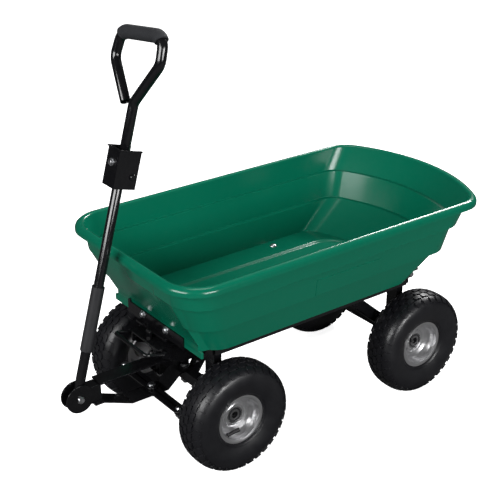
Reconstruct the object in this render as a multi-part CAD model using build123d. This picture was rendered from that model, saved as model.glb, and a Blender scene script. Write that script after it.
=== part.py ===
from build123d import *

import math
import os

# Four-wheel steered garden dump cart. Millimetres, +Z up, ground at z = 0.
# The pull handle is at the front (-Y), the tub tips towards the rear (+Y), +X is the left side.

# Wheels and axles
front_axle_y = -224.0
rear_axle_y = 326.0
axle_z = 130.0
wheel_mid_x = 188.0
tyre_r = 130.0
tyre_half_width = 42.0
tyre_wall = 7.0
bead_r = 51.0
bead_top_r = 60.0
bead_half_width = 26.0
rim_flange_r = 58.7
rim_flange_half = 29.0
rim_sheet = 2.5
boss_r = 27.5
hub_tube_r = 23.5
bearing_r = 20.0
bearing_width = 11.0
hub_out = 5.0
hub_in = 56.0
spindle_r = 8.0
running_gap = 0.05
spindle_end_recess = 5.0
valve_turn = {"front_left": -32.7, "rear_left": -150.0, "front_right": 60.0, "rear_right": 20.0}

# Steering linkage
knuckle_x = 114.0
steer_arm = 93.0
knuckle_r = 12.0
kingpin_r = 6.0
king_nut_height = 6.0
yoke_sheet = 3.0
yoke_z = (99.0, 161.0)
beam_size = 25.0
beam_z = (136.0, 161.0)
tie_width = 29.0
tie_sheet = 4.0
tie_bolt_r = 5.0
gap = 0.3
strap_sheet = 4.0
lower_strap_half = 22.0
lower_strap_z = 136.0
upper_strap_half = 20.0
upper_strap_z = 211.0
upper_strap_y = -458.0
lower_strap_end_r = 12.0

# Clevis and pull handle
clevis_y = -506.0
clevis_z = 186.0
clevis_ear_r = 33.0
clevis_half_gap = 11.5
clevis_sheet = 3.0
clevis_bolt_r = 5.0
clevis_back_y = -454.0
handle_lean = 15.5
tube_r = 11.0
tube_wall = 1.8
sleeve_r = 14.0
sleeve_span = (109.0, 257.0)
channel_span = (478.0, 561.0)
channel_half = 22.8
channel_front = -24.8
channel_back = 28.1
channel_sheet = 3.0
fold_pin_b = 16.0
fold_pin_s = 505.0
fold_bolt_r = 4.0
lock_bolt_r = 5.0
lock_bolt_s = 530.0
loop_start_s = 489.0
grip_r = 15.0

# Chassis
leg_half = 17.5
leg_depth = 20.0
leg_sheet = 3.0
brace_sheet = 4.0
rail_x = 114.0
rail_z = (262.0, 287.0)
rear_brace_high = (152.0, 284.0)
rear_brace_low = (311.0, 146.0)
cross_half = 140.0
cross_depth = 40.0
square_wall = 2.0

# Tub
tub_wall = 4.0
rim_z = 493.0
rim_half = 252.0
rim_front_y = -386.0
rim_rear_y = 539.0
lip_drop = 18.0
rear_bow_radius = 410.0
ledge_upper_z = 431.0
ledge_lower_z = 366.0
floor_z = 300.0
panel_rise = 10.0
panel_half = 104.0
skirt_half = 176.0
skirt_y = -298.0
skirt_top_z = 318.0
floor_bolt_xy = (160.0, 159.0)
front_bolt_x = 47.0
front_bolt_z = 304.0

# Tipping pivot and cradle
pivot_y = 361.0
pivot_z = 278.0
pivot_rod_r = 6.0
cradle_x = (148.0, 179.0)
cradle_y = (-262.0, 300.0)

# Release lever
lever_y = -318.0
lever_z = 256.0
lever_reach = 50.0
lever_rise = 14.0
lever_half = 65.0
lever_rod_r = 4.5
lever_shaft_r = 4.0


def block(x0, x1, y0, y1, z0, z1):
    """Rectangular solid between three pairs of coordinates."""
    size = (abs(x1 - x0), abs(y1 - y0), abs(z1 - z0))
    return Pos((x0 + x1) / 2, (y0 + y1) / 2, (z0 + z1) / 2) * Box(*size)


def round_x(r, x0, x1, y, z):
    """Cylinder along X."""
    return Pos((x0 + x1) / 2, y, z) * Rot(0, 90, 0) * Cylinder(r, abs(x1 - x0))


def round_y(r, y0, y1, x, z):
    """Cylinder along Y."""
    return Pos(x, (y0 + y1) / 2, z) * Rot(90, 0, 0) * Cylinder(r, abs(y1 - y0))


def round_z(r, z0, z1, x, y):
    """Cylinder along Z."""
    return Pos(x, y, (z0 + z1) / 2) * Cylinder(r, abs(z1 - z0))


def hexagon(across_flats, height):
    """Hexagon nut or bolt head standing on z = 0."""
    sketch = RegularPolygon(across_flats / 2, 6, major_radius=False)
    head = extrude(sketch, height)
    dome = Cone(across_flats * 0.72, across_flats * 0.40, height, align=(Align.CENTER, Align.CENTER, Align.MIN))
    return head & dome


def hex_bolt(r, flats, grip, tail):
    """Bolt along Z: head above z = 0, shank down through the grip, then nut and tail."""
    head_height = r * 1.3
    shank = Pos(0, 0, -(grip + tail) / 2) * Cylinder(r, grip + tail)
    nut_height = r * 1.6
    nut = Pos(0, 0, -grip - nut_height) * extrude(
        RegularPolygon(flats / 2, 6, major_radius=False), nut_height
    )
    return hexagon(flats, head_height) + shank + nut


def square_tube(x0, x1, y0, y1, z0, z1, along):
    """Rectangular tube, open at both ends of the named axis."""
    w = square_wall
    inset = {"x": (0, w, w), "y": (w, 0, w), "z": (w, w, 0)}[along]
    inner = block(
        x0 + inset[0], x1 - inset[0], y0 + inset[1], y1 - inset[1], z0 + inset[2], z1 - inset[2]
    )
    return block(x0, x1, y0, y1, z0, z1) - inner


def bent_strap(points, thickness, half_width):
    """Flat strap bent along (y, z) points that follow its lower face, centred on x = 0."""
    upper = []
    for i, point in enumerate(points):
        before = points[max(i - 1, 0)]
        after = points[min(i + 1, len(points) - 1)]
        here = []
        for start, end in ((before, point), (point, after)):
            dy, dz = end[0] - start[0], end[1] - start[1]
            length = math.hypot(dy, dz)
            if length > 0:
                here.append((-dz / length, dy / length))
        ny = sum(n[0] for n in here) / len(here)
        nz = sum(n[1] for n in here) / len(here)
        scale = thickness / (ny * ny + nz * nz)
        upper.append((point[0] + ny * scale, point[1] + nz * scale))
    outline = list(points) + upper[::-1]
    with BuildPart() as strap:
        with BuildSketch(Plane.YZ.offset(-half_width)):
            with BuildLine():
                Polyline(*outline, close=True)
            make_face()
        extrude(amount=2 * half_width)
    return strap.part


def both(part):
    """A part and its mirror image across the x = 0 plane."""
    return Compound([part, mirror(part, about=Plane.YZ)])


# Tub


def tub_section(z, half, front_y, rear_y, front_corner, rear_corner):
    """Closed plan outline of the tub at one height: straight sides, bowed rear."""
    sagitta = rear_bow_radius - math.sqrt(rear_bow_radius**2 - half**2)
    side_end = rear_y - sagitta
    with BuildSketch(Plane.XY.offset(z)) as section:
        with BuildLine():
            Line((half, side_end), (half, front_y))
            Line((half, front_y), (-half, front_y))
            Line((-half, front_y), (-half, side_end))
            ThreePointArc((-half, side_end), (0, rear_y), (half, side_end))
        make_face()
        corners = section.vertices().sort_by(Axis.Y)
        fillet(corners[0:2], front_corner)
        fillet(section.vertices().sort_by(Axis.Y)[-2:], rear_corner)
    return section.sketch


def tub_tier(lower, upper):
    """Straight-sided tier between two plan outlines."""
    return loft([tub_section(*lower), tub_section(*upper)], ruled=True)


def tub_tiers(inset, lift):
    """The three stepped tiers, moved inwards by the wall and up by the ledge thickness."""
    i = inset
    rows = (
        ((floor_z + lift, 188 - i, -288 + i, 341 - i, 58 - i, 52 - i),
         (ledge_lower_z + lift, 202 - i, -316 + i, 437 - i, 62 - i, 58 - i)),
        ((ledge_lower_z + lift, 213 - i, -329 + i, 448 - i, 68 - i, 62 - i),
         (ledge_upper_z + lift, 222 - i, -351 + i, 472 - i, 72 - i, 66 - i)),
        ((ledge_upper_z + lift, 232 - i, -361 + i, 483 - i, 76 - i, 68 - i),
         (rim_z, 237 - i, -370 + i, 521 - i, 78 - i, 70 - i)),
    )
    solid = None
    for lower, upper in rows:
        tier = tub_tier(lower, upper)
        solid = tier if solid is None else solid + tier
    return solid


def front_wedge(inset, lift):
    """Smooth sloping front panel that bridges the steps between the front corners."""
    points = (
        (skirt_y + inset, floor_z + lift),
        (skirt_y + inset, skirt_top_z + lift / 2),
        (-361 + inset, ledge_upper_z + lift),
        (-300 + inset, ledge_upper_z + lift),
        (-250 + inset, floor_z + lift),
    )
    half = skirt_half - 4 - inset
    with BuildPart() as wedge:
        with BuildSketch(Plane.YZ.offset(-half)):
            with BuildLine():
                Polyline(*points, close=True)
            make_face()
        extrude(amount=2 * half)
    return wedge.part


def make_tub():
    outer = tub_tiers(0, 0) + front_wedge(0, 0)
    lip = extrude(tub_section(rim_z - lip_drop, rim_half, rim_front_y, rim_rear_y, 86, 78), lip_drop)
    lip = fillet(lip.edges().group_by(Axis.Z)[-1], 7)
    hollow = extrude(
        tub_section(rim_z - lip_drop - 1, rim_half - tub_wall, rim_front_y + tub_wall,
                    rim_rear_y - tub_wall, 82, 74),
        lip_drop - tub_wall + 1,
    )
    skirt = block(-skirt_half, skirt_half, skirt_y, skirt_y + 6, 288, skirt_top_z)
    body = outer + (lip - hollow) + skirt
    inner = tub_tiers(tub_wall, tub_wall) + front_wedge(tub_wall, tub_wall)
    top_cap = tub_section(rim_z - 0.5, 237 - tub_wall, -370 + tub_wall, 521 - tub_wall, 74, 66)
    body = body - inner - extrude(top_cap, 5)
    raised = block(-panel_half, panel_half, -255, 300, floor_z, floor_z + tub_wall + panel_rise)
    raised = chamfer(raised.faces().sort_by(Axis.Z)[-1].edges(), 8)
    sunk = block(-panel_half + 9, panel_half - 9, -246, 291, floor_z - 1, floor_z + panel_rise)
    body = body + raised - sunk
    for side in (-1, 1):
        body -= round_z(4.05, floor_z - 1, floor_z + 9, side * floor_bolt_xy[0], floor_bolt_xy[1])
        body -= round_y(4.05, skirt_y - 1, skirt_y + 5.6, side * front_bolt_x, front_bolt_z)
    return body


def make_cradle_rails():
    x0, x1 = cradle_x
    flange = block(x0, x1, cradle_y[0], cradle_y[1], 297, floor_z)
    lip = block(x1 - 3, x1, cradle_y[0], cradle_y[1], 286, 297)
    hole = round_z(4.05, 290, 305, floor_bolt_xy[0], floor_bolt_xy[1])
    return both(flange + lip - hole)


def make_cradle_crossbars():
    """Crossbars between the cradle rails, and the two pivot arms of the rear one."""
    z0, z1 = rail_z[1] + gap, floor_z - 3
    half = cradle_x[1] - 3.5
    front = square_tube(-half, half, -250, -210, z0, z1, "x")
    rear = square_tube(-half, half, 262, 300, z0, z1, "x")
    arm = block(123.5, 143.5, 300, pivot_y + 12, z1 - 6, z1)
    ear = block(123.5, 127.5, pivot_y - 12, pivot_y + 12, pivot_z, z1 - 6)
    ear += round_x(12, 123.5, 127.5, pivot_y, pivot_z)
    rear += both(arm + ear)
    rear -= round_x(pivot_rod_r + running_gap, -160, 160, pivot_y, pivot_z)
    return Compound([front, rear])


def make_latch_bracket():
    plate = block(-112, 112, -302, skirt_y, 284, 312)
    plate += block(-112, -102, -302, skirt_y, 312, 318)
    plate = fillet(plate.edges().filter_by(Axis.Y).group_by(Axis.Z)[-1], 3)
    flange = block(-60, 60, -314, -302, 284, 288)
    arm = block(104, 112, -298, -250, 284, 287.9)
    foot = block(104, 112, -258, -250, 287.9, 297)
    bracket = plate + flange + arm + foot
    bracket += mirror(arm + foot, about=Plane.YZ)
    for side in (-1, 1):
        bracket -= round_y(4.05, -310, -290, side * front_bolt_x, front_bolt_z)
    return bracket


def make_front_bolts():
    x, z = front_bolt_x, front_bolt_z
    shank = round_y(4, -302, skirt_y + 5.5, x, z)
    washer = round_y(9, -303.5, -302, x, z)
    head = Pos(x, -303.5, z) * Rot(90, 0, 0) * hexagon(13, 5.5)
    return both(shank + washer + head)


def make_floor_bolts():
    x, y = floor_bolt_xy
    seat = floor_z + tub_wall
    dome = Pos(x, y, seat - 6) * Sphere(11)
    dome = dome & round_z(9.5, seat, seat + 8, x, y)
    shank = round_z(4, 286, seat, x, y)
    nut = Pos(x, y, 290.5) * extrude(RegularPolygon(6.5, 6, major_radius=False), 6.5)
    return both(dome + shank + nut)


# Wheels


def wheel_place(side, y):
    """Wheel frame: local Z is the wheel's axis and points outboard."""
    return Pos(side * wheel_mid_x, y, axle_z) * Rot(0, 90 * side, 0)


def revolve_profile(points):
    """Ring turned about local Z from (distance outboard, radius) points."""
    with BuildPart() as ring:
        with BuildSketch(Plane.XZ):
            with BuildLine():
                Polyline(*[(r, u) for u, r in points], close=True)
            make_face()
        revolve(axis=Axis.Z)
    return ring.part


def make_tyre():
    w = tyre_half_width
    wall = tyre_wall
    inner_u = bead_half_width - 6
    with BuildPart() as tyre:
        with BuildSketch(Plane.XZ):
            with BuildLine():
                Line((bead_r, inner_u), (bead_r, bead_half_width))
                Line((bead_r, bead_half_width), (bead_top_r, bead_half_width))
                ThreePointArc((bead_top_r, bead_half_width), (94, w), (120, 33))
                ThreePointArc((120, 33), (tyre_r, 0), (120, -33))
                ThreePointArc((120, -33), (94, -w), (bead_top_r, -bead_half_width))
                Line((bead_top_r, -bead_half_width), (bead_r, -bead_half_width))
                Line((bead_r, -bead_half_width), (bead_r, -inner_u))
                Line((bead_r, -inner_u), (bead_top_r, -inner_u))
                ThreePointArc((bead_top_r, -inner_u), (94, -w + wall), (tyre_r - 15, -25))
                ThreePointArc((tyre_r - 15, -25), (tyre_r - 9, 0), (tyre_r - 15, 25))
                ThreePointArc((tyre_r - 15, 25), (94, w - wall), (bead_top_r, inner_u))
                Line((bead_top_r, inner_u), (bead_r, inner_u))
            make_face()
        revolve(axis=Axis.Z)
    return tyre.part


def make_inner_tube(turn):
    """Inflated inner tube inside the tyre, with its valve stem through the rim."""
    ring = Torus(87.0, 26.0) - Torus(87.0, 24.0)
    return ring + Rot(0, 0, turn) * valve_stem()


def valve_stem():
    """Bent rubber valve stem: out of the rim wall, then across the bowl and slightly outboard."""
    upright = (Align.CENTER, Align.CENTER, Align.MIN)
    stem = Cylinder(4.2, 19, align=upright)
    cap = Pos(0, 0, 19) * fillet(Cylinder(4.9, 10, align=upright).edges().group_by(Axis.Z)[-1], 1.5)
    leaning = Rot(0, 0, -38) * Rot(0, -74, 0) * (stem + cap)
    stub = Rot(0, -90, 0) * Cylinder(4.2, 18.5, align=upright)
    return Pos(46, 0, 13) * (leaning + Sphere(4.2)) + Pos(64.5, 0, 13) * stub


def make_rim(turn):
    """Pressed steel rim with rolled flanges and a bowl-shaped disc, and the hub tube in its middle."""
    t = rim_sheet
    f, s = rim_flange_half, bead_r - 0.15
    barrel = (
        (f, rim_flange_r), (f, rim_flange_r - 4), (f - 1.5, s), (18, s - 1.5), (9, s - 5),
        (-9, s - 5), (-18, s - 1.5), (-f + 1.5, s), (-f, rim_flange_r - 4), (-f, rim_flange_r),
        (-f + t, rim_flange_r), (-f + t, s), (-18, s), (-9, s - 2.5), (9, s - 2.5), (18, s),
        (f - t, s), (f - t, rim_flange_r),
    )
    ring = revolve_profile(barrel)
    bowl = (
        (12, s - 3.8), (6, 43), (1, 38), (-1, 33), (-1, 29), (hub_out - 1.5, boss_r),
        (hub_out, boss_r - 2), (hub_out, hub_tube_r), (hub_out - t, hub_tube_r),
        (hub_out - t - 1, boss_r - 3), (-1 - t, 26.5), (-1 - t, 34), (-1 - t + 1.5, 40),
        (3.5, 45), (9, s - 3.2),
    )
    disc = revolve_profile(bowl)
    hub = Pos(0, 0, (hub_out - hub_in) / 2) * (
        Cylinder(hub_tube_r, hub_out + hub_in) - Cylinder(bearing_r, hub_out + hub_in)
    )
    stop = Pos(0, 0, (hub_out - hub_in) / 2) * (
        Cylinder(hub_tube_r, 30) - Cylinder(bearing_r - 3, 30)
    )
    hole = Pos(40, 0, 13) * Rot(0, 90, 0) * Cylinder(4.5, 40)
    dish = ring + disc - Rot(0, 0, turn) * hole
    return Compound([dish, hub + stop])


def make_bearings():
    """Two sealed ball bearings, one at each end of the hub."""
    race = Cylinder(bearing_r, bearing_width) - Cylinder(spindle_r + running_gap, bearing_width)
    for face in (-1, 1):
        recess = Cylinder(bearing_r - 3, 1) - Cylinder(spindle_r + 5, 1)
        race -= Pos(0, 0, face * bearing_width / 2) * recess
    outer = Pos(0, 0, hub_out - bearing_width / 2) * race
    inner = Pos(0, 0, -hub_in + bearing_width / 2) * race
    return Compound([outer, inner])


# Axles, knuckles and steering


def make_spindle(side, root_x, y):
    """Stub axle with its shoulder, from the knuckle or beam out into the hub."""
    end_x = wheel_mid_x + hub_out - spindle_end_recess
    shoulder_x = wheel_mid_x - hub_in - gap
    stub = round_x(spindle_r, side * root_x, side * end_x, y, axle_z)
    shoulder = round_x(spindle_r + 4, side * root_x, side * shoulder_x, y, axle_z)
    dimple = round_x(3.5, side * (end_x - 8), side * (end_x + 1), y, axle_z)
    return stub + shoulder - dimple


def make_knuckle(side):
    """Steering knuckle: barrel on the kingpin, steering arm forward, stub axle outboard."""
    arm_top = lower_strap_z if side > 0 else lower_strap_z + tie_sheet + gap
    x = side * knuckle_x
    z0, z1 = yoke_z[0] + yoke_sheet + gap, yoke_z[1] - yoke_sheet - gap
    end_y = front_axle_y - steer_arm
    barrel = round_z(knuckle_r, z0, z1, x, front_axle_y)
    arm = block(x - 9, x + 9, end_y, front_axle_y, arm_top - 5, arm_top)
    arm += round_z(12, arm_top - 5, arm_top, x, end_y)
    body = barrel + arm + make_spindle(side, knuckle_x + 6, front_axle_y)
    body -= round_z(kingpin_r + running_gap, z0 - 1, z1 + 1, x, front_axle_y)
    return body - round_z(tie_bolt_r + running_gap, arm_top - 8, arm_top + 1, x, end_y)


def make_knuckle_bolt(side):
    """Bolt that holds the tie rod on the knuckle's arm."""
    arm_top = lower_strap_z if side > 0 else lower_strap_z + tie_sheet + gap
    seat = arm_top + tie_sheet + 2 * gap
    bolt = hex_bolt(tie_bolt_r, 17, tie_sheet + 2 * gap + 5, 14)
    return Pos(side * knuckle_x, front_axle_y - steer_arm, seat) * bolt


def make_tie_rod(side):
    """Flat tie rod from the drawbar's centre bolt to the knuckle's arm."""
    z0 = lower_strap_z + gap + (0 if side > 0 else tie_sheet + gap)
    z1 = z0 + tie_sheet
    y = front_axle_y - steer_arm
    half = tie_width / 2
    bar = block(0, side * knuckle_x, y - half, y + half, z0, z1)
    for x in (0, side * knuckle_x):
        bar += round_z(half, z0, z1, x, y)
    for x in (0, side * knuckle_x):
        bar -= round_z(tie_bolt_r + running_gap, z0 - 1, z1 + 1, x, y)
    return bar


def make_drawbar_bolts():
    """Bolt that carries the inner ends of both tie rods, and the nut under the king spacer."""
    seat = lower_strap_z + 2 * tie_sheet + 3 * gap
    grip = seat - lower_strap_z + strap_sheet
    bolt = Pos(0, front_axle_y - steer_arm, seat) * hex_bolt(tie_bolt_r, 17, grip, 13)
    z0 = beam_z[1] + gap + strap_sheet
    nut = Pos(0, front_axle_y, z0) * hexagon(19, king_nut_height)
    nut -= round_z(kingpin_r + running_gap, z0 - 1, z0 + king_nut_height + 1, 0, front_axle_y)
    return Compound([bolt, nut])


def make_yokes():
    """C-shaped brackets at the ends of the front beam that hold the knuckles."""
    z0, z1 = yoke_z
    web = block(92, 92 + yoke_sheet, front_axle_y - 12, front_axle_y + 12, z0, z1)
    yoke = web
    for z in (z0, z1 - yoke_sheet):
        yoke += block(92, 134, front_axle_y - 14, front_axle_y + 14, z, z + yoke_sheet)
    yoke -= round_z(kingpin_r + running_gap, z0 - 1, z1 + 1, knuckle_x, front_axle_y)
    return both(yoke)


def make_front_beam():
    h = beam_size / 2
    beam = square_tube(-92, 92, front_axle_y - h, front_axle_y + h, beam_z[0], beam_z[1], "x")
    return beam - round_z(kingpin_r + running_gap, beam_z[0] - 1, beam_z[1] + 1, 0, front_axle_y)


def make_pivot_bolts():
    """King bolt of the drawbar and the two kingpins of the knuckles."""
    king_seat = upper_strap_z + gap + strap_sheet
    king = Pos(0, front_axle_y, king_seat) * hex_bolt(kingpin_r, 19, king_seat - beam_z[0], 15)
    pin = Pos(knuckle_x, front_axle_y, yoke_z[1]) * hex_bolt(
        kingpin_r, 19, yoke_z[1] - yoke_z[0], 15
    )
    return Compound([king, both(pin)])


def make_lower_strap():
    """Drawbar's lower strap: down from the clevis, level at the tie rods, up onto the beam."""
    t = strap_sheet
    low = lower_strap_z - t
    top = beam_z[1] + gap
    points = (
        (-474, 161), (-452, 161), (-381, low), (-285, low), (-250, top), (front_axle_y, top),
    )
    strap = bent_strap(points, t, lower_strap_half)
    strap += round_z(lower_strap_end_r, top, top + t, 0, front_axle_y)
    strap -= round_z(kingpin_r + running_gap, top - 2, top + t + 2, 0, front_axle_y)
    return strap - round_z(tie_bolt_r + running_gap, low - 1, low + t + 1, 0, front_axle_y - steer_arm)


def make_upper_strap():
    """Drawbar's upper strap, straight and level from the clevis to the king bolt."""
    z1 = upper_strap_z
    z0 = z1 - strap_sheet
    strap = block(-upper_strap_half, upper_strap_half, upper_strap_y, front_axle_y, z0, z1)
    strap += round_z(upper_strap_half, z0, z1, 0, front_axle_y)
    return strap - round_z(kingpin_r + running_gap, z0 - 1, z1 + 1, 0, front_axle_y)


def make_king_spacer():
    """Spacer tube round the king bolt between the drawbar's two straps."""
    z0 = beam_z[1] + gap + strap_sheet + king_nut_height
    z1 = upper_strap_z - strap_sheet
    tube = round_z(9, z0, z1, 0, front_axle_y)
    return tube - round_z(kingpin_r + running_gap, z0 - 1, z1 + 1, 0, front_axle_y)


def make_clevis():
    """Two round ears joined by a top plate and a back plate; the top plate stops the handle."""
    inner, outer = clevis_half_gap, clevis_half_gap + clevis_sheet
    top = upper_strap_z - strap_sheet
    bottom = 161.0 + strap_sheet
    cheek = round_x(clevis_ear_r, inner, outer, clevis_y, clevis_z)
    cheek += block(inner, outer, clevis_y, clevis_back_y, bottom, top)
    cheek &= block(inner, outer, -600, clevis_back_y, clevis_z - clevis_ear_r, clevis_z + 40)
    cheek -= block(inner - 1, outer + 1, -474.5, -440, 100, bottom)
    cheek -= block(inner - 1, outer + 1, upper_strap_y - 0.5, -440, top, 260)
    cheeks = cheek + mirror(cheek, about=Plane.YZ)
    stop_y = clevis_y + tube_r / math.cos(math.radians(handle_lean))
    stop_y += (top - 4 - clevis_z) * math.tan(math.radians(handle_lean)) + 1.5
    lid = block(-inner, inner, stop_y, clevis_back_y, top - 4, top)
    back = block(-inner, inner, clevis_back_y - 4, clevis_back_y, bottom, top - 4)
    body = cheeks + lid + back
    return body - round_x(clevis_bolt_r + running_gap, -20, 20, clevis_y, clevis_z)


def make_clevis_bolt():
    outer = clevis_half_gap + clevis_sheet
    bolt = hex_bolt(clevis_bolt_r, 16, 2 * outer, 12)
    return Pos(outer, clevis_y, clevis_z) * Rot(0, 90, 0) * bolt


# Pull handle, in its own frame: local X is across, local Y is rearward, local Z runs up the shaft


def handle_place(part):
    """Moves a part from the handle's own frame, which starts at the clevis bolt."""
    return Pos(0, clevis_y, clevis_z) * Rot(-handle_lean, 0, 0) * part


def make_lower_tube():
    top = loop_start_s - 4
    tube = Pos(0, 0, top / 2) * Cylinder(tube_r, top) + Sphere(tube_r)
    bore = Pos(0, 0, (top + 20) / 2 + 9) * Cylinder(tube_r - tube_wall, top - 18)
    tube = tube - bore
    tube -= round_x(clevis_bolt_r + running_gap, -20, 20, 0, 0)
    return handle_place(tube)


def make_sleeve():
    s0, s1 = sleeve_span
    sleeve = Pos(0, 0, (s0 + s1) / 2) * Cylinder(sleeve_r, s1 - s0)
    sleeve = fillet(sleeve.edges().group_by(Axis.Z)[0], 2)
    bore = Pos(0, 0, (s0 + s1) / 2) * Cylinder(tube_r, s1 - s0 + 2)
    return handle_place(sleeve - bore)


def make_hitch_channel():
    """Deep U-shaped channel, open to the rear, in which the upper handle folds."""
    s0, s1 = channel_span
    h, t = channel_half, channel_sheet
    front, back = channel_front, channel_back
    box = block(-h, h, front, back, s0, s1)
    box -= block(-h + t, h - t, front + t, back + 1, s0 + t, s1 + 1)
    box += block(-h - 2.5, -h, front - 2.5, back, s1 - t, s1)
    box += block(h, h + 2.5, front - 2.5, back, s1 - t, s1)
    box += block(-h, -10, front - 2.5, front, s1 - t, s1)
    box += block(10, h, front - 2.5, front, s1 - t, s1)
    box -= Pos(0, 0, s0) * Cylinder(tube_r + running_gap, 20)
    box -= round_x(fold_bolt_r + running_gap, -40, 40, fold_pin_b, fold_pin_s)
    box -= round_y(lock_bolt_r + running_gap, front - 5, front + 10, 0, lock_bolt_s)
    return handle_place(box)


def make_fold_bolt():
    bolt = hex_bolt(fold_bolt_r, 13, 2 * channel_half, 9)
    bolt = Pos(channel_half, fold_pin_b, fold_pin_s) * Rot(0, 90, 0) * bolt
    return handle_place(bolt)


def make_lock_bolt():
    """Domed lock bolt in the channel's front web; its nose bears on the folded tube's front."""
    nose_end = -tube_r - gap
    shank = round_y(lock_bolt_r, channel_front, nose_end, 0, lock_bolt_s)
    flange = round_y(8.5, channel_front - 2, channel_front, 0, lock_bolt_s)
    head = Pos(0, channel_front - 2, lock_bolt_s) * Rot(90, 0, 0) * hexagon(13, 5)
    nut = Pos(0, channel_front + channel_sheet + 6, lock_bolt_s) * Rot(90, 0, 0) * extrude(
        RegularPolygon(8, 6, major_radius=False), 6
    )
    return handle_place(shank + flange + head + nut)


def loop_line():
    """Centre line of the upper tube: up the shaft, round the hand loop to its free end."""
    points = (
        (0, 0, loop_start_s), (0, 0, 655), (66, 0, 747), (60, 0, 802.5),
        (-90, 0, 784.5), (-99, 0, 729), (-30, 0, 650),
    )
    return FilletPolyline(*points, radius=[30, 32, 26, 28, 32])


def make_loop_tube():
    line = loop_line()
    section = Plane(origin=line @ 0, z_dir=line % 0)
    ring = section * (Circle(tube_r) - Circle(tube_r - tube_wall))
    tube = sweep(ring, path=line)
    bush_half = channel_half - channel_sheet - gap
    bush = round_x(9, -bush_half, bush_half, fold_pin_b, fold_pin_s)
    bush -= Pos(0, 0, fold_pin_s) * Cylinder(tube_r - 0.4, 30)
    tube += bush
    tube -= round_x(fold_bolt_r + running_gap, -40, 40, fold_pin_b, fold_pin_s)
    return handle_place(tube)


def make_grip():
    """Foam grip slid over the top of the hand loop, reaching into both bends."""
    edges = loop_line().edges()
    first = edges[5].trim(0.45, 1)
    last = edges[7].trim(0, 0.5)
    line = Wire([first, edges[6], last])
    section = Plane(origin=line @ 0, z_dir=line % 0)
    ring = section * (Circle(grip_r) - Circle(tube_r))
    return handle_place(sweep(ring, path=line))


# Chassis


def make_leg(y, z0, z1):
    """Pressed channel leg with its web to the front."""
    y0, y1 = y - leg_depth / 2, y + leg_depth / 2
    leg = block(rail_x - leg_half, rail_x + leg_half, y0, y1, z0, z1)
    hollow = block(
        rail_x - leg_half + leg_sheet, rail_x + leg_half - leg_sheet, y0 + leg_sheet, y1 + 1,
        z0 - 1, z1 + 1
    )
    return leg - hollow


def make_front_legs():
    leg = make_leg(front_axle_y, yoke_z[1], rail_z[0])
    clearance = round_z(11.5, yoke_z[1] - 1, yoke_z[1] + 10, knuckle_x, front_axle_y)
    return both(leg - clearance)


def make_crossmember(y):
    half = cross_depth / 2
    return square_tube(-cross_half, cross_half, y - half, y + half, rail_z[0], rail_z[1], "x")


def make_rear_crossmember():
    member = make_crossmember(rear_axle_y)
    ear = block(118, 122, rear_axle_y + cross_depth / 2, pivot_y, pivot_z - 9, pivot_z + 8)
    ear += round_x(9, 118, 122, pivot_y, pivot_z)
    ear &= block(118, 122, rear_axle_y + cross_depth / 2, pivot_y + 12, 250, 300)
    member += both(ear)
    return member - round_x(pivot_rod_r, -130, 130, pivot_y, pivot_z)


def make_chassis_rails():
    half = beam_size / 2
    y0 = front_axle_y + cross_depth / 2
    y1 = rear_axle_y - cross_depth / 2
    return both(square_tube(rail_x - half, rail_x + half, y0, y1, rail_z[0], rail_z[1], "y"))


def make_mid_crossmembers():
    """Two flat cross straps between the chassis rails, where the diagonal braces end."""
    x = rail_x - beam_size / 2
    front = block(-x, x, -160, -120, rail_z[0], rail_z[0] + 5)
    rear = block(-x, x, 130, 170, rail_z[0], rail_z[0] + 5)
    return Compound([front, rear])


def make_pivot_bracket():
    """Folded front bracket: top plate, two cheeks and the plate that holds the king bolt."""
    y_front, y_mid = -333.0, front_axle_y - cross_depth / 2
    y_back = front_axle_y + beam_size / 2 - 1
    z0 = upper_strap_z + gap
    outline = (
        (y_front, 266), (y_mid, 266), (y_mid, rail_z[0]), (y_back, rail_z[0]), (y_back, z0),
        (-262, z0), (y_front, 246),
    )
    with BuildPart() as cheek:
        with BuildSketch(Plane.YZ.offset(47)):
            with BuildLine():
                Polyline(*outline, close=True)
            make_face()
        extrude(amount=3)
    bracket = cheek.part + mirror(cheek.part, about=Plane.YZ)
    bracket += block(-60, 60, y_front, y_mid, 266, 270)
    bracket += block(-47, 47, -262, y_back, z0, z0 + strap_sheet)
    bracket -= block(-9.5, 9.5, lever_y - 10, lever_y + 6, 260, 275)
    bracket -= round_x(lever_shaft_r + running_gap, -60, 60, lever_y, lever_z)
    return bracket - round_z(kingpin_r + running_gap, z0 - 1, z0 + 6, 0, front_axle_y)


def make_centre_brace():
    """Slanted brace from behind the front beam up to the front cross strap."""
    y = front_axle_y + beam_size / 2 + 2 * brace_sheet
    top = rail_z[0] - brace_sheet - gap
    points = ((y, 140), (y, 150), (-138, top), (-118, top))
    return bent_strap(points, brace_sheet, 13)


def make_v_braces():
    """Two flat bars that spread from the middle of the front beam up to the crossmember."""
    y = front_axle_y + beam_size / 2
    low, high = Vector(10, 0, 138), Vector(84, 0, rail_z[0])
    run = high - low
    angle = math.degrees(math.atan2(run.X, run.Z))
    bar = Rot(0, angle, 0) * Box(20, brace_sheet, 2 * run.length)
    bar = Pos((low.X + high.X) / 2, y + brace_sheet / 2, (low.Z + high.Z) / 2) * bar
    return both(bar & block(0.5, 120, y, y + brace_sheet, beam_z[0] + 1, rail_z[0]))


def make_rear_legs():
    return both(make_leg(rear_axle_y, axle_z + beam_size / 2, rail_z[0]))


def make_rear_beam():
    h = beam_size / 2
    y = rear_axle_y
    beam = square_tube(-125, 125, y - h, y + h, axle_z - h, axle_z + h, "x")
    return beam


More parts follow.
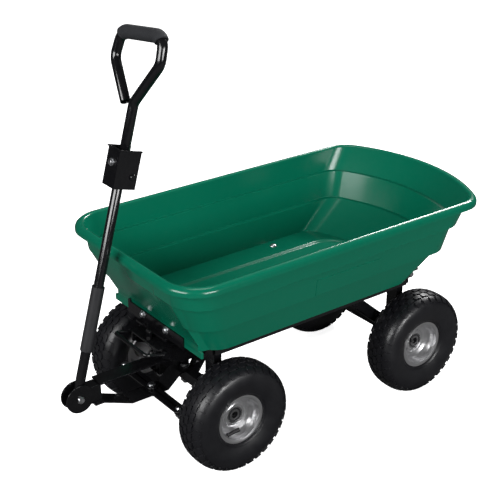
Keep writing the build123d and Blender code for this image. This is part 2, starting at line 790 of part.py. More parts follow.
def make_rear_axle():
    """One round axle through the rear beam, turned down at both ends for the wheels."""
    shaft = round_x(spindle_r, -126, 126, rear_axle_y, axle_z)
    for side in (-1, 1):
        shaft += make_spindle(side, 125, rear_axle_y)
    return shaft


def make_rear_braces():
    """Wide bars outside the chassis rails and round rods under them, sloping down to the axle."""
    face = rear_axle_y - leg_depth / 2
    rail_side = rail_x + beam_size / 2
    slope = math.degrees(math.atan2(rear_brace_low[1] - rear_brace_high[1],
                                    rear_brace_low[0] - rear_brace_high[0]))
    middle_y = (rear_brace_low[0] + rear_brace_high[0]) / 2
    middle_z = (rear_brace_low[1] + rear_brace_high[1]) / 2
    bar = Pos(rail_side + brace_sheet / 2, middle_y, middle_z) * Rot(slope, 0, 0)
    bar *= Box(brace_sheet, 400, 25)
    bar &= block(rail_side, rail_side + brace_sheet, 100, face, axle_z + 13, rail_z[1])
    rod_start, rod_end = (157, rail_z[0]), (rear_axle_y - beam_size / 2, 128)
    run_y, run_z = rod_end[0] - rod_start[0], rod_end[1] - rod_start[1]
    rod = Pos(120, (rod_start[0] + rod_end[0]) / 2, (rod_start[1] + rod_end[1]) / 2)
    rod *= Rot(math.degrees(math.atan2(run_z, run_y)) - 90, 0, 0) * Cylinder(4, 400)
    rod &= block(110, 130, 100, rod_end[0], 100, rail_z[0])
    return Compound([both(bar), both(rod)])


def make_pivot_rod():
    """Tipping pivot rod with a washer and split pin at each end."""
    rod = round_x(pivot_rod_r, -136, 136, pivot_y, pivot_z)
    washer = round_x(9, 128.5, 130.5, pivot_y, pivot_z)
    pin = round_z(1.5, pivot_z - 8.5, pivot_z + 8.5, 133, pivot_y)
    return rod + both(washer + pin)


def make_release_lever():
    """Bent rod loop on a cross shaft, with the latch tongue welded to the shaft."""
    y1, z1 = lever_y - lever_reach, lever_z + lever_rise
    h = lever_half
    line = FilletPolyline(
        (-h, lever_y, lever_z), (-h, y1, z1), (h, y1, z1), (h, lever_y, lever_z), radius=10
    )
    section = Plane(origin=line @ 0, z_dir=line % 0)
    lever = sweep(section * Circle(lever_rod_r), path=line)
    for side in (-1, 1):
        lever += round_x(8, side * (h - 6), side * (h + 6), lever_y, lever_z)
    lever += round_x(lever_shaft_r, -h, h, lever_y, lever_z)
    tongue = block(-8, 8, lever_y - 2.5, lever_y + 2.5, lever_z, 290)
    tongue = fillet(tongue.edges().filter_by(Axis.Y).group_by(Axis.Z)[-1], 4)
    return lever + tongue


def make_latch_spring():
    """Space of the torsion spring that returns the lever, wound round its shaft."""
    return round_x(8, 17, 43, lever_y, lever_z) - round_x(5, 16, 44, lever_y, lever_z)


parts = {
    "tub": make_tub(),
    "cradle_rails": make_cradle_rails(),
    "cradle_crossbars": make_cradle_crossbars(),
    "latch_bracket": make_latch_bracket(),
    "tub_front_bolts": make_front_bolts(),
    "tub_floor_bolts": make_floor_bolts(),
    "front_axle_beam": make_front_beam(),
    "front_yokes": make_yokes(),
    "front_legs": make_front_legs(),
    "front_crossmember": make_crossmember(front_axle_y),
    "front_pivot_bracket": make_pivot_bracket(),
    "front_centre_brace": make_centre_brace(),
    "front_v_braces": make_v_braces(),
    "steering_pivot_bolts": make_pivot_bolts(),
    "chassis_rails": make_chassis_rails(),
    "chassis_cross_straps": make_mid_crossmembers(),
    "rear_crossmember": make_rear_crossmember(),
    "rear_legs": make_rear_legs(),
    "rear_braces": make_rear_braces(),
    "rear_axle_beam": make_rear_beam(),
    "rear_axle": make_rear_axle(),
    "tipping_pivot_rod": make_pivot_rod(),
    "latch_spring": make_latch_spring(),
    "release_lever": make_release_lever(),
    "drawbar_lower_strap": make_lower_strap(),
    "drawbar_upper_strap": make_upper_strap(),
    "drawbar_clevis": make_clevis(),
    "king_spacer": make_king_spacer(),
    "drawbar_bolts": make_drawbar_bolts(),
    "clevis_bolt": make_clevis_bolt(),
    "handle_lower_tube": make_lower_tube(),
    "handle_sleeve": make_sleeve(),
    "hitch_channel": make_hitch_channel(),
    "fold_bolt": make_fold_bolt(),
    "handle_lock_bolt": make_lock_bolt(),
    "handle_loop_tube": make_loop_tube(),
    "foam_grip": make_grip(),
}

for side_name, side in (("left", 1), ("right", -1)):
    parts["tie_rod_" + side_name] = make_tie_rod(side)
    parts["knuckle_" + side_name] = make_knuckle(side)
    parts["knuckle_bolt_" + side_name] = make_knuckle_bolt(side)
    for end_name, axle_y in (("front", front_axle_y), ("rear", rear_axle_y)):
        place = wheel_place(side, axle_y)
        suffix = end_name + "_" + side_name
        parts["tyre_" + suffix] = place * make_tyre()
        parts["inner_tube_" + suffix] = place * make_inner_tube(valve_turn[suffix])
        parts["rim_" + suffix] = place * make_rim(valve_turn[suffix])
        parts["bearings_" + suffix] = place * make_bearings()

os.makedirs("parts", exist_ok=True)
for node, part in parts.items():
    export_step(part, os.path.join("parts", node + ".step"))
print(len(parts), "parts written")
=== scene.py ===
import math

import bmesh
import bpy
from bpy.props import FloatProperty, FloatVectorProperty, IntProperty, PointerProperty
from mathutils import Matrix, Vector


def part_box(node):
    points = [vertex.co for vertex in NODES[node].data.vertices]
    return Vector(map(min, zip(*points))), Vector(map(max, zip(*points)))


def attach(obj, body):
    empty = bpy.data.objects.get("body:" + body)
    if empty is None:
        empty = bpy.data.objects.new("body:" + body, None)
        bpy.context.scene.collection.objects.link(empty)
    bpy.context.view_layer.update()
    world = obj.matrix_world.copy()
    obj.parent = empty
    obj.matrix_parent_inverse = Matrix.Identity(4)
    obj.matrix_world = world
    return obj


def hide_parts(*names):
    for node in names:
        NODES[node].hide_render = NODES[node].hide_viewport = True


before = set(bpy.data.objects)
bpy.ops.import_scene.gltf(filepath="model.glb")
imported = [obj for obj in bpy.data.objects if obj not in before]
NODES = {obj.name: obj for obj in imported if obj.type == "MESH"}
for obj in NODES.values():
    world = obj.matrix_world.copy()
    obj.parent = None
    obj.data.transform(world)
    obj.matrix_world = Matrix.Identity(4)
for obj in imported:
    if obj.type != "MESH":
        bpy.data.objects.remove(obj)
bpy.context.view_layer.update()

bl_info = {
    "name": "Garden Cart",
    "version": (1, 0, 0),
    "blender": (4, 5, 0),
    "location": "3D View > Sidebar > Garden Cart",
    "description": "Builds a four-wheel garden dump cart round its CAD frame",
    "category": "Add Mesh",
}

MM = 0.001
WHEELS = ("front_left", "front_right", "rear_left", "rear_right")
COATED = (
    "cradle_rails", "cradle_crossbars", "latch_bracket", "front_axle_beam", "front_yokes",
    "front_legs", "front_crossmember", "front_pivot_bracket", "front_centre_brace",
    "front_v_braces", "king_spacer", "rear_axle",
    "chassis_rails", "chassis_cross_straps", "rear_crossmember", "rear_legs", "rear_braces",
    "rear_axle_beam", "release_lever", "drawbar_lower_strap", "drawbar_upper_strap",
    "drawbar_clevis", "handle_lower_tube", "hitch_channel", "handle_loop_tube",
    "tie_rod_left", "tie_rod_right", "knuckle_left", "knuckle_right", "fold_bolt",
)
ZINC = (
    "tub_front_bolts", "tub_floor_bolts", "steering_pivot_bolts", "drawbar_bolts",
    "clevis_bolt", "handle_lock_bolt", "tipping_pivot_rod",
    "knuckle_bolt_left", "knuckle_bolt_right",
)


# Sizes and colours


class CartSizes(bpy.types.PropertyGroup):
    """Sizes of the pieces that are modelled here."""

    tread_pitches: IntProperty(
        name="Tread blocks", description="Blocks in each row of a tyre's tread", default=34, min=12
    )
    tread_depth: FloatProperty(
        name="Tread depth", description="Height of a tread block",
        default=0.0034, min=0.001, max=0.008, unit="LENGTH",
    )
    ledge_round: FloatProperty(
        name="Ledge rounding", description="Radius of the tub's ledges",
        default=0.0032, min=0.0005, max=0.008, unit="LENGTH",
    )
    spring_wire: FloatProperty(
        name="Spring wire", description="Wire diameter of the lever's torsion spring",
        default=0.0025, min=0.001, max=0.004, unit="LENGTH",
    )
    steel_edge: FloatProperty(
        name="Steel edge", description="Rounding of the sheet steel's edges",
        default=0.0006, min=0.0, max=0.002, unit="LENGTH",
    )


def colour_property(name, description, default):
    return FloatVectorProperty(
        name=name, description=description, subtype="COLOR", size=3, min=0.0, max=1.0,
        default=default,
    )


class CartColours(bpy.types.PropertyGroup):
    """Base colours of the finishes."""

    plastic: colour_property("Tub", "Moulded polypropylene", (0.0008, 0.128, 0.072))
    coat: colour_property("Steel coat", "Gloss powder coat", (0.0040, 0.0040, 0.0048))
    zinc: colour_property("Zinc", "Plated fasteners", (0.62, 0.63, 0.65))
    rim: colour_property("Rim", "Silver paint on the rims", (0.62, 0.62, 0.63))
    rubber: colour_property("Tyre", "Tyre rubber", (0.0060, 0.0061, 0.0078))
    foam: colour_property("Grip", "Foam grip", (0.020, 0.021, 0.024))
    sleeve: colour_property("Sleeve", "Matte plastic sleeve", (0.011, 0.011, 0.013))
    floor: colour_property("Floor", "Studio floor", (0.90, 0.90, 0.90))


# Shader node groups and materials


def group_shell(name, inputs, outputs):
    """Empty shader node group with the named float or colour sockets."""
    group = bpy.data.node_groups.new(name, "ShaderNodeTree")
    for label, kind, default in inputs:
        socket = group.interface.new_socket(label, in_out="INPUT", socket_type=kind)
        if default is not None:
            socket.default_value = default
    for label, kind in outputs:
        group.interface.new_socket(label, in_out="OUTPUT", socket_type=kind)
    return group


def add_node(tree, kind, **settings):
    node = tree.nodes.new(kind)
    for key, value in settings.items():
        setattr(node, key, value)
    return node


def math_node(tree, operation, first, second=None, third=None, clamp=False):
    """Math node fed by sockets or numbers; returns its output."""
    node = add_node(tree, "ShaderNodeMath", operation=operation, use_clamp=clamp)
    for index, value in enumerate((first, second, third)):
        if value is None:
            continue
        if isinstance(value, (int, float)):
            node.inputs[index].default_value = value
        else:
            tree.links.new(value, node.inputs[index])
    return node.outputs[0]


def noise_node(tree, vector, scale, detail=3.0, roughness=0.55):
    node = add_node(tree, "ShaderNodeTexNoise")
    tree.links.new(vector, node.inputs["Vector"])
    if isinstance(scale, (int, float)):
        node.inputs["Scale"].default_value = scale
    else:
        tree.links.new(scale, node.inputs["Scale"])
    node.inputs["Detail"].default_value = detail
    node.inputs["Roughness"].default_value = roughness
    return node.outputs[0]


def grain_group():
    """Two sizes of noise: a fine grain for the height and broad patches for the tint."""
    group = group_shell(
        "Grain",
        (("Fine Scale", "NodeSocketFloat", 900.0), ("Patch Scale", "NodeSocketFloat", 9.0)),
        (("Fine", "NodeSocketFloat"), ("Patch", "NodeSocketFloat")),
    )
    source = add_node(group, "NodeGroupInput")
    sink = add_node(group, "NodeGroupOutput")
    where = add_node(group, "ShaderNodeTexCoord").outputs["Object"]
    fine = noise_node(group, where, source.outputs["Fine Scale"], 2.0)
    patch = noise_node(group, where, source.outputs["Patch Scale"], 4.0)
    group.links.new(fine, sink.inputs["Fine"])
    group.links.new(patch, sink.inputs["Patch"])
    return group


def edge_group():
    """Mask of edges and corners, broken up by noise."""
    group = group_shell(
        "Edge Wear",
        (("Radius", "NodeSocketFloat", 0.0015), ("Amount", "NodeSocketFloat", 0.5)),
        (("Mask", "NodeSocketFloat"),),
    )
    source = add_node(group, "NodeGroupInput")
    sink = add_node(group, "NodeGroupOutput")
    rounded = add_node(group, "ShaderNodeBevel", samples=4)
    group.links.new(source.outputs["Radius"], rounded.inputs["Radius"])
    geometry = add_node(group, "ShaderNodeNewGeometry")
    dot = add_node(group, "ShaderNodeVectorMath", operation="DOT_PRODUCT")
    group.links.new(rounded.outputs["Normal"], dot.inputs[0])
    group.links.new(geometry.outputs["Normal"], dot.inputs[1])
    away = math_node(group, "SUBTRACT", 1.0, dot.outputs["Value"])
    edge = math_node(group, "MULTIPLY", away, 6.0, clamp=True)
    where = add_node(group, "ShaderNodeTexCoord").outputs["Object"]
    broken = noise_node(group, where, 220.0, 4.0, 0.7)
    broken = math_node(group, "SUBTRACT", broken, 0.42)
    broken = math_node(group, "MULTIPLY", broken, 5.0, clamp=True)
    mask = math_node(group, "MULTIPLY", edge, broken)
    mask = math_node(group, "MULTIPLY", mask, source.outputs["Amount"], clamp=True)
    group.links.new(mask, sink.inputs["Mask"])
    return group


def dust_group():
    """Mask of fine dust that settles on upward faces and in patches."""
    group = group_shell(
        "Dust",
        (("Amount", "NodeSocketFloat", 0.3), ("Scale", "NodeSocketFloat", 30.0)),
        (("Mask", "NodeSocketFloat"),),
    )
    source = add_node(group, "NodeGroupInput")
    sink = add_node(group, "NodeGroupOutput")
    geometry = add_node(group, "ShaderNodeNewGeometry")
    split = add_node(group, "ShaderNodeSeparateXYZ")
    group.links.new(geometry.outputs["Normal"], split.inputs[0])
    upward = math_node(group, "MULTIPLY_ADD", split.outputs["Z"], 0.5, 0.5, clamp=True)
    where = add_node(group, "ShaderNodeTexCoord").outputs["Object"]
    speck = noise_node(group, where, source.outputs["Scale"], 6.0, 0.7)
    speck = math_node(group, "SUBTRACT", speck, 0.40)
    speck = math_node(group, "MULTIPLY", speck, 3.0, clamp=True)
    mask = math_node(group, "MULTIPLY", upward, speck)
    mask = math_node(group, "MULTIPLY", mask, source.outputs["Amount"], clamp=True)
    group.links.new(mask, sink.inputs["Mask"])
    return group


GROUPS = {}


def groups():
    """The shared shader groups, built once."""
    if not GROUPS:
        GROUPS["grain"] = grain_group()
        GROUPS["edge"] = edge_group()
        GROUPS["dust"] = dust_group()
    return GROUPS


def place_group(tree, key, **values):
    node = add_node(tree, "ShaderNodeGroup", node_tree=groups()[key])
    for name, value in values.items():
        node.inputs[name.replace("_", " ")].default_value = value
    return node


def mix_colour(tree, factor, first, second):
    """Mix of two colours, each a socket or an (r, g, b) tuple."""
    node = add_node(tree, "ShaderNodeMix", data_type="RGBA")
    tree.links.new(factor, node.inputs["Factor"])
    for index, value in ((6, first), (7, second)):
        if isinstance(value, tuple):
            node.inputs[index].default_value = (*value, 1.0)
        else:
            tree.links.new(value, node.inputs[index])
    return node.outputs[2]


def range_node(tree, value, low, high):
    """Maps a 0 to 1 value onto low to high."""
    node = add_node(tree, "ShaderNodeMapRange")
    tree.links.new(value, node.inputs["Value"])
    node.inputs["From Min"].default_value = 0.3
    node.inputs["From Max"].default_value = 0.7
    node.inputs["To Min"].default_value = low
    node.inputs["To Max"].default_value = high
    return node.outputs["Result"]


def scaled(colour, factor):
    return tuple(min(1.0, c * factor) for c in colour)


def new_material(name):
    """Material with a bare Principled BSDF; returns (material, tree, shader)."""
    material = bpy.data.materials.new(name)
    material.use_nodes = True
    tree = material.node_tree
    shader = tree.nodes["Principled BSDF"]
    return material, tree, shader


def grain_finish(name, colour, roughness, fine, patch, bump, tint=0.12, spread=0.06, **uniform):
    """Base of most finishes: fine relief, broad tint patches and a varying roughness."""
    material, tree, shader = new_material(name)
    grain = place_group(tree, "grain", Fine_Scale=fine, Patch_Scale=patch)
    base = mix_colour(
        tree, grain.outputs["Patch"], scaled(colour, 1.0 - tint), scaled(colour, 1.0 + tint)
    )
    rough = range_node(tree, grain.outputs["Patch"], roughness - spread, roughness + spread)
    tree.links.new(rough, shader.inputs["Roughness"])
    relief = add_node(tree, "ShaderNodeBump")
    relief.inputs["Strength"].default_value = 1.0
    relief.inputs["Distance"].default_value = bump
    tree.links.new(grain.outputs["Fine"], relief.inputs["Height"])
    tree.links.new(relief.outputs["Normal"], shader.inputs["Normal"])
    for key, value in uniform.items():
        shader.inputs[key.replace("_", " ")].default_value = value
    return material, tree, shader, base


def add_dust(tree, base, amount, scale, colour):
    dust = place_group(tree, "dust", Amount=amount, Scale=scale)
    return mix_colour(tree, dust.outputs["Mask"], base, colour)


def add_edge(tree, base, radius, amount, colour):
    edge = place_group(tree, "edge", Radius=radius, Amount=amount)
    return mix_colour(tree, edge.outputs["Mask"], base, colour)


def plastic_finish(colour):
    material, tree, shader, base = grain_finish(
        "Moulded polypropylene", colour, 0.20, 420.0, 3.5, 0.00005, 0.05, 0.03,
        Specular_IOR_Level=0.40,
    )
    base = add_edge(tree, base, 0.0030, 0.15, scaled(colour, 1.4))
    base = add_dust(tree, base, 0.03, 60.0, (0.10, 0.25, 0.19))
    tree.links.new(base, shader.inputs["Base Color"])
    return material


def coat_finish(colour):
    material, tree, shader, base = grain_finish(
        "Black powder coat", colour, 0.16, 1300.0, 14.0, 0.00005, 0.2, 0.05, Specular_IOR_Level=0.5
    )
    base = add_edge(tree, base, 0.0010, 0.35, (0.05, 0.05, 0.052))
    base = add_dust(tree, base, 0.05, 90.0, (0.10, 0.10, 0.10))
    tree.links.new(base, shader.inputs["Base Color"])
    return material


def zinc_finish(colour):
    material, tree, shader, base = grain_finish(
        "Bright zinc plate", colour, 0.30, 700.0, 90.0, 0.00006, 0.25, 0.09, Metallic=1.0
    )
    base = add_edge(tree, base, 0.0010, 0.6, (0.85, 0.85, 0.86))
    tree.links.new(base, shader.inputs["Base Color"])
    return material


def rim_finish(colour):
    material, tree, shader, base = grain_finish(
        "Silver rim paint", colour, 0.30, 900.0, 12.0, 0.00001, 0.04, 0.03, Metallic=0.92,
        Coat_Weight=0.3, Coat_Roughness=0.10,
    )
    base = add_dust(tree, base, 0.03, 80.0, (0.20, 0.19, 0.17))
    base = add_edge(tree, base, 0.0014, 0.3, (0.75, 0.75, 0.76))
    tree.links.new(base, shader.inputs["Base Color"])
    return material


def rubber_finish(colour):
    material, tree, shader, base = grain_finish(
        "Tyre rubber", colour, 0.38, 800.0, 26.0, 0.00012, 0.25, 0.08, Specular_IOR_Level=0.5
    )
    base = add_dust(tree, base, 0.08, 55.0, (0.030, 0.030, 0.032))
    base = add_edge(tree, base, 0.0010, 0.35, (0.040, 0.040, 0.043))
    tree.links.new(base, shader.inputs["Base Color"])
    return material


def foam_finish(colour):
    """Foam skin: small closed pores in a matte, slightly dusty surface."""
    material, tree, shader = new_material("Foam rubber")
    where = add_node(tree, "ShaderNodeTexCoord").outputs["Object"]
    cells = add_node(tree, "ShaderNodeTexVoronoi")
    cells.inputs["Scale"].default_value = 1100.0
    tree.links.new(where, cells.inputs["Vector"])
    grain = place_group(tree, "grain", Fine_Scale=520.0, Patch_Scale=40.0)
    height = math_node(tree, "MULTIPLY_ADD", grain.outputs["Fine"], 0.6, cells.outputs["Distance"])
    relief = add_node(tree, "ShaderNodeBump")
    relief.inputs["Distance"].default_value = 0.00045
    tree.links.new(height, relief.inputs["Height"])
    tree.links.new(relief.outputs["Normal"], shader.inputs["Normal"])
    base = mix_colour(tree, grain.outputs["Patch"], scaled(colour, 0.8), scaled(colour, 1.35))
    base = add_dust(tree, base, 0.2, 140.0, (0.06, 0.06, 0.06))
    tree.links.new(base, shader.inputs["Base Color"])
    tree.links.new(range_node(tree, grain.outputs["Patch"], 0.72, 0.88), shader.inputs["Roughness"])
    shader.inputs["Specular IOR Level"].default_value = 0.3
    return material


def sleeve_finish(colour):
    material, tree, shader, base = grain_finish(
        "Matte sleeve plastic", colour, 0.55, 1000.0, 30.0, 0.00010, 0.2, 0.06
    )
    base = add_dust(tree, base, 0.10, 120.0, (0.05, 0.05, 0.05))
    tree.links.new(base, shader.inputs["Base Color"])
    return material


def steel_finish(name, colour, roughness):
    material, tree, shader, base = grain_finish(
        name, colour, roughness, 600.0, 60.0, 0.00005, 0.25, 0.08, Metallic=1.0
    )
    tree.links.new(base, shader.inputs["Base Color"])
    return material


FINISHES = {}


def finish(key):
    """One of the cart's finishes, made on first use."""
    if key not in FINISHES:
        colours = bpy.context.scene.cart_colours
        make = {
            "plastic": lambda: plastic_finish(tuple(colours.plastic)),
            "coat": lambda: coat_finish(tuple(colours.coat)),
            "zinc": lambda: zinc_finish(tuple(colours.zinc)),
            "rim": lambda: rim_finish(tuple(colours.rim)),
            "rubber": lambda: rubber_finish(tuple(colours.rubber)),
            "foam": lambda: foam_finish(tuple(colours.foam)),
            "sleeve": lambda: sleeve_finish(tuple(colours.sleeve)),
            "bearing": lambda: steel_finish("Ground bearing steel", (0.50, 0.50, 0.51), 0.22),
            "spring": lambda: steel_finish("Oiled spring steel", (0.16, 0.16, 0.17), 0.35),
        }[key]
        FINISHES[key] = make()
    return FINISHES[key]


# Mesh helpers


def finished_object(name, bm, material, body, sharp=35.0):
    """Object at the origin from a bmesh, smooth apart from its sharp edges, riding on a body."""
    mesh = bpy.data.meshes.new(name)
    bm.to_mesh(mesh)
    bm.free()
    mesh.shade_smooth()
    mesh.set_sharp_from_angle(angle=math.radians(sharp))
    obj = bpy.data.objects.new(name, mesh)
    bpy.context.scene.collection.objects.link(obj)
    mesh.materials.append(material)
    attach(obj, body)
    return obj


def clean(bm, distance=1e-6):
    bmesh.ops.remove_doubles(bm, verts=bm.verts[:], dist=distance)
    bmesh.ops.recalc_face_normals(bm, faces=bm.faces[:])


def unique_edges(verts):
    """Every edge at the given vertices, once each and in a fixed order."""
    return list(dict.fromkeys(e for v in verts for e in v.link_edges))


def add_bevel(bm, edges, offset, segments=2):
    bmesh.ops.bevel(
        bm, geom=edges, offset=offset, offset_type="OFFSET", segments=segments, profile=0.5,
        affect="EDGES", clamp_overlap=True, material=-1,
    )


def rounded_box(bm, size, matrix, edge):
    """Box with rounded edges added to a bmesh."""
    made = bmesh.ops.create_cube(bm, size=1.0, matrix=matrix @ Matrix.Diagonal((*size, 1.0)))
    add_bevel(bm, unique_edges(made["verts"]), edge)


def spun(bm, outline, axis, centre, steps):
    """Closed ring made by turning an outline of points round an axis."""
    verts = [bm.verts.new(p) for p in outline]
    edges = [bm.edges.new((a, b)) for a, b in zip(verts, verts[1:] + verts[:1])]
    bmesh.ops.spin(
        bm, geom=verts + edges, cent=centre, axis=axis, dvec=(0, 0, 0),
        angle=2 * math.pi, steps=steps, use_merge=True, use_duplicate=False,
    )


def finish_cad(node, key, edge=0.0, segments=2):
    """Gives a carried-over CAD node its finish and softens its edges."""
    obj = NODES[node]
    obj.data.materials.clear()
    obj.data.materials.append(finish(key))
    if edge > 0:
        weld = obj.modifiers.new("Weld", "WELD")
        weld.merge_threshold = 0.00002
        bevel = obj.modifiers.new("Edges", "BEVEL")
        bevel.width = edge
        bevel.segments = segments
        bevel.limit_method = "ANGLE"
        bevel.angle_limit = math.radians(40)
        bevel.use_clamp_overlap = True
        bevel.harden_normals = True
    return obj


# The tub

FRONT_COLUMNS = (0.0, 0.035, 0.070, 0.100, 0.125, 0.145, 0.156, 0.163, 0.168)
CORNER_COLUMNS = 12
SIDE_COLUMNS = 10
REAR_CORNER_COLUMNS = 12
REAR_COLUMNS = 12
PANEL_HALF = 0.1655


def ring_half(half, front_y, rear_y, front_r, rear_r, bow, panel_y):
    """Right half of a plan outline, from the middle of the front to the middle of the rear."""
    points = []
    corner_x = half - front_r
    squeeze = min(1.0, corner_x / 0.166) if half < 0.17 else 1.0
    start = FRONT_COLUMNS[-1] * squeeze
    for x in FRONT_COLUMNS:
        x *= squeeze
        over = max(0.0, x - corner_x)
        y = front_y + front_r - math.sqrt(max(0.0, front_r**2 - over**2))
        if panel_y is not None and x < PANEL_HALF:
            y = min(y, panel_y)
        points.append((x, y))
    first = math.asin(min(1.0, max(0.0, start - corner_x) / front_r))
    for i in range(1, CORNER_COLUMNS + 1):
        angle = first + (math.pi / 2 - first) * i / CORNER_COLUMNS
        x = corner_x + front_r * math.sin(angle)
        points.append((x, front_y + front_r - front_r * math.cos(angle)))
    bow_y = rear_y - bow
    centre_x = half - rear_r
    centre_y = bow_y + math.sqrt((bow - rear_r) ** 2 - centre_x**2)
    side_start = points[-1][1]
    for i in range(1, SIDE_COLUMNS + 1):
        points.append((half, side_start + (centre_y - side_start) * i / SIDE_COLUMNS))
    last = math.atan2(centre_y - bow_y, centre_x)
    for i in range(1, REAR_CORNER_COLUMNS + 1):
        angle = last * i / REAR_CORNER_COLUMNS
        points.append((centre_x + rear_r * math.cos(angle), centre_y + rear_r * math.sin(angle)))
    for i in range(1, REAR_COLUMNS + 1):
        angle = last + (math.pi / 2 - last) * i / REAR_COLUMNS
        points.append((bow * math.cos(angle), bow_y + bow * math.sin(angle)))
    return points


def plan_ring(z, half, front_y, rear_y, front_r, rear_r, bow=0.410, panel_y=None):
    """Closed plan outline of the tub at one height."""
    right = ring_half(half, front_y, rear_y, front_r, rear_r, bow, panel_y)
    left = [(-x, y) for x, y in reversed(right[1:-1])]
    return [Vector((x, y, z)) for x, y in right + left]


def front_panel(z, inset):
    """How far forward the smooth front panel stands at a height."""
    rise = min(1.0, max(0.0, (z - 0.318) / 0.113))
    return -0.298 - 0.063 * rise + inset


def between(low, high, z):
    """Section between two sections at a height; each is (z, half, front, rear, radii)."""
    t = (z - low[0]) / (high[0] - low[0])
    return tuple(a + (b - a) * t for a, b in zip(low, high))


# Sections of the three tiers, lower then upper: (height, half width, front, rear, corner radii)
TIERS = (
    (0.300, 0.188, -0.288, 0.341, 0.058, 0.052),
    (0.366, 0.202, -0.316, 0.437, 0.062, 0.058),
    (0.366, 0.213, -0.329, 0.448, 0.068, 0.062),
    (0.431, 0.222, -0.351, 0.472, 0.072, 0.066),
    (0.431, 0.232, -0.361, 0.483, 0.076, 0.068),
    (0.493, 0.237, -0.370, 0.521, 0.078, 0.070),
)


# Rolled lip, from its underside over the crest to the inner wall: (section, sharp corner)
LIP = (
    ((0.489, 0.248, -0.382, 0.535, 0.082, 0.074), True),
    ((0.475, 0.248, -0.382, 0.535, 0.082, 0.074), False),
    ((0.475, 0.252, -0.386, 0.539, 0.086, 0.078), False),
    ((0.4815, 0.2520, -0.3860, 0.5390, 0.086, 0.078), False),
    ((0.4868, 0.2500, -0.3840, 0.5370, 0.084, 0.076), False),
    ((0.4908, 0.2462, -0.3802, 0.5332, 0.081, 0.073), False),
    ((0.4930, 0.2410, -0.3750, 0.5280, 0.079, 0.071), False),
    ((0.4920, 0.2362, -0.3698, 0.5212, 0.076, 0.068), False),
    ((0.4885, 0.2330, -0.3660, 0.5170, 0.074, 0.066), False),
)

# Raised floor panel: (height above the floor, distance in from its foot, sharp corner)
FLOOR_BEAD = (
    (0.0000, 0.0000, True), (0.0105, 0.0035, False), (0.0130, 0.0065, False),
    (0.0130, 0.0105, False), (0.0105, 0.0150, False), (0.0092, 0.0200, False),
)
PANEL_FOOT = 0.106
PANEL_FRONT = -0.262
PANEL_REAR = 0.326
SKIRT_SIZE = (0.352, 0.006, 0.015)
SKIRT_PLACE = (0, -0.295, 0.2955)
LABEL_SIZE = (0.0030, 0.190, 0.040)
LABEL_PLACE = (0.2156, 0.078, 0.389)
FLAT_ENOUGH = 0.2


def inset_section(section, wall):
    z, half, front_y, rear_y, front_r, rear_r = section
    return (z + wall, half - wall, front_y + wall, rear_y - wall, front_r - wall, rear_r - wall)


def tub_rings(wall=0.004):
    """Rings of the tub's closed skin: outside up, over the lip, and inside down to the floor."""
    outer = []
    for low, high in zip(TIERS[0::2], TIERS[1::2]):
        top = high if high[0] < 0.49 else between(low, high, 0.489)
        outer.append((low, True))
        if low is TIERS[0]:
            outer.append((between(low, high, 0.318), False))
        outer.append((top, True))
    rings = [(plan_ring(*s, panel_y=front_panel(s[0], 0.0)), corner) for s, corner in outer]
    rings += [(plan_ring(*s), corner) for s, corner in LIP]
    inner = []
    for low, high in reversed(list(zip(TIERS[0::2], TIERS[1::2]))):
        low_in = inset_section(low, wall)
        high_in = inset_section(high, wall)
        if high[0] < 0.49:
            inner.append((high_in, True))
        if low is TIERS[0]:
            inner.append((between(low_in, high_in, 0.322), False))
        inner.append((low_in, True))
    rings += [(plan_ring(*s, panel_y=front_panel(s[0], wall)), corner) for s, corner in inner]
    base = inset_section(TIERS[0], wall)[0]
    for rise, out, corner in FLOOR_BEAD:
        half = PANEL_FOOT - out
        ends = (PANEL_FRONT + out, PANEL_REAR - out)
        rings.append((plan_ring(base + rise, half, *ends, 0.036 - out, 0.078 - out, 0.110), corner))
    return rings


def build_tub():
    """The tub: one skin grown ring by ring, with the front skirt and the blank side plate."""
    rings = tub_rings()
    bm = bmesh.new()
    first = rings[0][0]
    circle = bmesh.ops.create_circle(bm, cap_ends=False, segments=len(first), radius=0.1)
    verts = circle["verts"]
    for vert, place in zip(verts, first):
        vert.co = place
    loop = unique_edges(verts)
    bmesh.ops.edgeloop_fill(bm, edges=loop)
    corner_loops = [loop]
    for ring, corner in rings[1:]:
        grown = bmesh.ops.extrude_edge_only(bm, edges=loop)["geom"]
        new_verts = [g for g in grown if isinstance(g, bmesh.types.BMVert)]
        old_order = {}
        for vert in new_verts:
            for edge in vert.link_edges:
                other = edge.other_vert(vert)
                if other not in new_verts:
                    old_order[other] = vert
        verts = [old_order[v] for v in verts]
        for vert, place in zip(verts, ring):
            vert.co = place
        fresh = set(verts)
        loop = [e for e in unique_edges(verts) if e.verts[0] in fresh and e.verts[1] in fresh]
        if corner:
            corner_loops.append(loop)
    bmesh.ops.edgeloop_fill(bm, edges=loop)
    clean(bm)
    rounding = bpy.context.scene.cart_sizes.ledge_round
    corners = [e for found in corner_loops for e in found if e.is_valid]
    corners = [e for e in corners if e.calc_face_angle(0) > FLAT_ENOUGH]
    add_bevel(bm, corners, rounding, 3)
    rounded_box(bm, SKIRT_SIZE, Matrix.Translation(SKIRT_PLACE), 0.0012)
    slope = math.atan2(TIERS[3][1] - TIERS[2][1], TIERS[3][0] - TIERS[2][0])
    plate = Matrix.Translation(LABEL_PLACE) @ Matrix.Rotation(slope, 4, "Y")
    rounded_box(bm, LABEL_SIZE, plate, 0.0006)
    obj = finished_object("tub_shell", bm, finish("plastic"), "tub_body", 50.0)
    normals = obj.modifiers.new("Normals", "WEIGHTED_NORMAL")
    normals.keep_sharp = True
    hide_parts("tub")
    return obj


# Tyres


